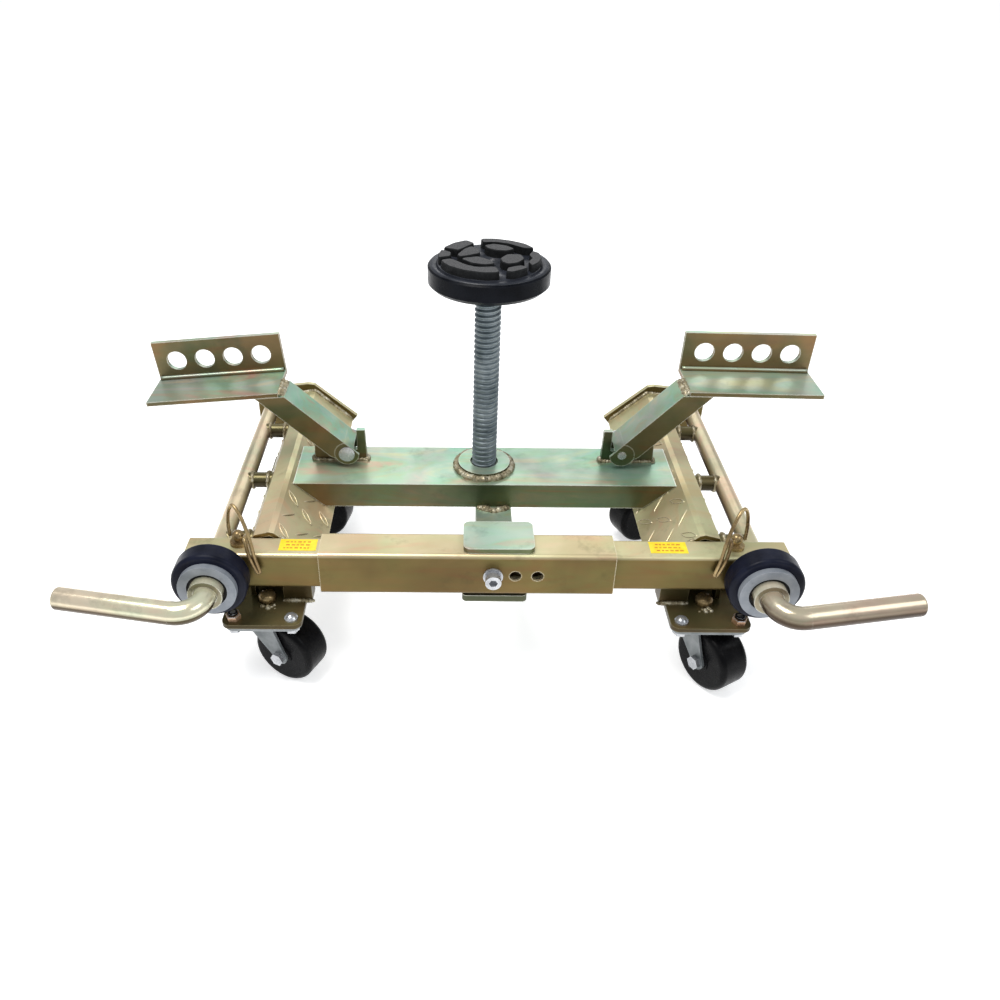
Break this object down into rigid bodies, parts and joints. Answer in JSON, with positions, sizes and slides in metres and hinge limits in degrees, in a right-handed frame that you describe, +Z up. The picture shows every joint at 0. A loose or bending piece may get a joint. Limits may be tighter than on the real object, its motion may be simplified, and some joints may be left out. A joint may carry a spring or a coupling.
{
  "type": "wheel dolly",
  "caption": "Telescopic wheel dolly with caster-borne cradles, travel wheels with swing handles and a loose beam carrying a screw lift pad and two support arms.",
  "frame": {"origin": "middle of the floor rectangle under the dolly: centred in width and depth, z = 0 on the floor", "axes": "+X to the right along the crossbar, +Y to the rear along the cradles, +Z up"},
  "size_m": [0.841, 0.4324, 0.4095],
  "materials": {
    "zinc_gold": "yellow passivated zinc, satin",
    "zinc_green": "iridescent green passivated zinc, satin",
    "handle_gold": "bright yellow passivated zinc",
    "zinc_plain": "bright zinc",
    "galvanised": "grey galvanised, rolled thread",
    "fork_zinc": "dull zinc",
    "rim_grey": "pale grey, satin",
    "tyre_navy": "dark polyurethane",
    "bush_black": "matte",
    "caster_black": "semi-gloss moulded",
    "cup_black": "satin black paint",
    "pad_rubber": "matte ribbed rubber"
  },
  "bodies": {
    "left_frame": {"sleeve_tube": "zinc_gold", "adjuster_bolt": "zinc_plain", "adjuster_washer": "zinc_plain", "left_inner_tube": "zinc_gold", "left_cradle_plate": "zinc_gold", "left_risers": "zinc_gold", "left_side_rod": "zinc_gold", "left_rod_lugs": "zinc_gold", "left_end_plate": "zinc_gold", "left_mount_plates": "zinc_gold", "left_caster_plates": "fork_zinc", "left_mount_bolts": "zinc_plain", "left_wheel_boss": "handle_gold"},
    "right_frame": {"right_inner_tube": "zinc_gold", "right_cradle_plate": "zinc_gold", "right_risers": "zinc_gold", "right_side_rod": "zinc_gold", "right_rod_lugs": "zinc_gold", "right_end_plate": "zinc_gold", "right_mount_plates": "zinc_gold", "right_caster_plates": "fork_zinc", "right_mount_bolts": "zinc_plain", "right_wheel_boss": "handle_gold"},
    "left_travel_wheel": {"left_travel_tyre": "tyre_navy", "left_travel_rim": "rim_grey", "left_travel_bush": "bush_black"},
    "left_handle": {"left_handle": "handle_gold"},
    "left_lock_pin": {"left_lock_pin": "handle_gold"},
    "left_bail": {"left_bail": "handle_gold"},
    "right_travel_wheel": {"right_travel_tyre": "tyre_navy", "right_travel_rim": "rim_grey", "right_travel_bush": "bush_black"},
    "right_handle": {"right_handle": "handle_gold"},
    "right_lock_pin": {"right_lock_pin": "handle_gold"},
    "right_bail": {"right_bail": "handle_gold"},
    "front_left_swivel": {"front_left_fork": "fork_zinc", "front_left_axle_bolt": "zinc_plain"},
    "front_left_wheel": {"front_left_caster_wheel": "caster_black"},
    "front_right_swivel": {"front_right_fork": "fork_zinc", "front_right_axle_bolt": "zinc_plain"},
    "front_right_wheel": {"front_right_caster_wheel": "caster_black"},
    "rear_left_swivel": {"rear_left_fork": "fork_zinc", "rear_left_axle_bolt": "zinc_plain"},
    "rear_left_wheel": {"rear_left_caster_wheel": "caster_black"},
    "rear_right_swivel": {"rear_right_fork": "fork_zinc", "rear_right_axle_bolt": "zinc_plain"},
    "rear_right_wheel": {"rear_right_caster_wheel": "caster_black"},
    "crossbeam": {"crossbeam": "zinc_green", "flange_nut": "zinc_green", "connecting_bar": "zinc_green", "clamp_jaws": "zinc_green", "arm_brackets": "zinc_green", "arm_pins": "zinc_plain"},
    "left_arm": {"left_arm": "zinc_green", "left_angle_iron": "zinc_green"},
    "right_arm": {"right_arm": "zinc_green", "right_angle_iron": "zinc_green"},
    "lift_pad": {"pad_cup": "cup_black", "pad_rubber": "pad_rubber"},
    "lift_screw": {"lift_screw": "galvanised"}
  },
  "joints": [
    {"name": "width_slide", "type": "slide", "parent": "left_frame", "child": "right_frame", "axis": [1, 0, 0], "range_m": [0, 0.045]},
    {"name": "left_travel_spin", "type": "hinge", "parent": "left_frame", "child": "left_travel_wheel", "pos_m": [-0.2755, -0.15675, 0.14], "axis": [0, 1, 0], "continuous": true},
    {"name": "left_handle_swing", "type": "hinge", "parent": "left_frame", "child": "left_handle", "pos_m": [-0.2755, -0.15675, 0.14], "axis": [0, 1, 0], "range_deg": [0, 180]},
    {"name": "left_lock_pin_lift", "type": "slide", "parent": "left_frame", "child": "left_lock_pin", "axis": [0, 0, 1], "range_m": [0, 0.06]},
    {"name": "left_bail_swing", "type": "hinge", "parent": "left_lock_pin", "child": "left_bail", "pos_m": [-0.2525, -0.11775, 0.168], "axis": [-1, 0, 0], "range_deg": [0, 90]},
    {"name": "right_travel_spin", "type": "hinge", "parent": "right_frame", "child": "right_travel_wheel", "pos_m": [0.2755, -0.15675, 0.14], "axis": [0, 1, 0], "continuous": true},
    {"name": "right_handle_swing", "type": "hinge", "parent": "right_frame", "child": "right_handle", "pos_m": [0.2755, -0.15675, 0.14], "axis": [0, -1, 0], "range_deg": [0, 180]},
    {"name": "right_lock_pin_lift", "type": "slide", "parent": "right_frame", "child": "right_lock_pin", "axis": [0, 0, 1], "range_m": [0, 0.06]},
    {"name": "right_bail_swing", "type": "hinge", "parent": "right_lock_pin", "child": "right_bail", "pos_m": [0.2525, -0.11775, 0.168], "axis": [-1, 0, 0], "range_deg": [0, 90]},
    {"name": "front_left_swivel", "type": "hinge", "parent": "left_frame", "child": "front_left_swivel", "pos_m": [-0.23, -0.12375, 0.08], "axis": [0, 0, 1], "continuous": true},
    {"name": "front_left_roll", "type": "hinge", "parent": "front_left_swivel", "child": "front_left_wheel", "pos_m": [-0.20772, -0.1351, 0.0355], "axis": [0.454, 0.891, 0], "continuous": true},
    {"name": "front_right_swivel", "type": "hinge", "parent": "right_frame", "child": "front_right_swivel", "pos_m": [0.23, -0.12375, 0.08], "axis": [0, 0, 1], "continuous": true},
    {"name": "front_right_roll", "type": "hinge", "parent": "front_right_swivel", "child": "front_right_wheel", "pos_m": [0.2425, -0.1454, 0.0355], "axis": [0.866, 0.5, 0], "continuous": true},
    {"name": "rear_left_swivel", "type": "hinge", "parent": "left_frame", "child": "rear_left_swivel", "pos_m": [-0.23, 0.12825, 0.08], "axis": [0, 0, 1], "continuous": true},
    {"name": "rear_left_roll", "type": "hinge", "parent": "rear_left_swivel", "child": "rear_left_wheel", "pos_m": [-0.20555, 0.12305, 0.0355], "axis": [0.2079, 0.9781, 0], "continuous": true},
    {"name": "rear_right_swivel", "type": "hinge", "parent": "right_frame", "child": "rear_right_swivel", "pos_m": [0.23, 0.12825, 0.08], "axis": [0, 0, 1], "continuous": true},
    {"name": "rear_right_roll", "type": "hinge", "parent": "rear_right_swivel", "child": "rear_right_wheel", "pos_m": [0.20734, 0.11768, 0.0355], "axis": [0.4226, -0.9063, 0], "continuous": true},
    {"name": "crossbeam_slide", "type": "slide", "parent": "left_frame", "child": "crossbeam", "axis": [0, 1, 0], "range_m": [0, 0.11]},
    {"name": "left_arm_swing", "type": "hinge", "parent": "crossbeam", "child": "left_arm", "pos_m": [-0.157, 0.04625, 0.1775], "axis": [0, 1, 0], "range_deg": [-28, 46]},
    {"name": "right_arm_swing", "type": "hinge", "parent": "crossbeam", "child": "right_arm", "pos_m": [0.157, 0.04625, 0.1775], "axis": [0, -1, 0], "range_deg": [-32, 42]},
    {"name": "pad_lift", "type": "slide", "parent": "crossbeam", "child": "lift_pad", "axis": [0, 0, 1], "range_m": [-0.115, 0.01]},
    {"name": "screw_turn", "type": "hinge", "parent": "lift_pad", "child": "lift_screw", "pos_m": [0, 0.03225, 0.377], "axis": [0, 0, 1], "range_deg": [-6950, 620]}
  ],
  "couplings": [
    {"joint": "screw_turn", "follows": "pad_lift", "rad_per_m": 1047.2}
  ]
}
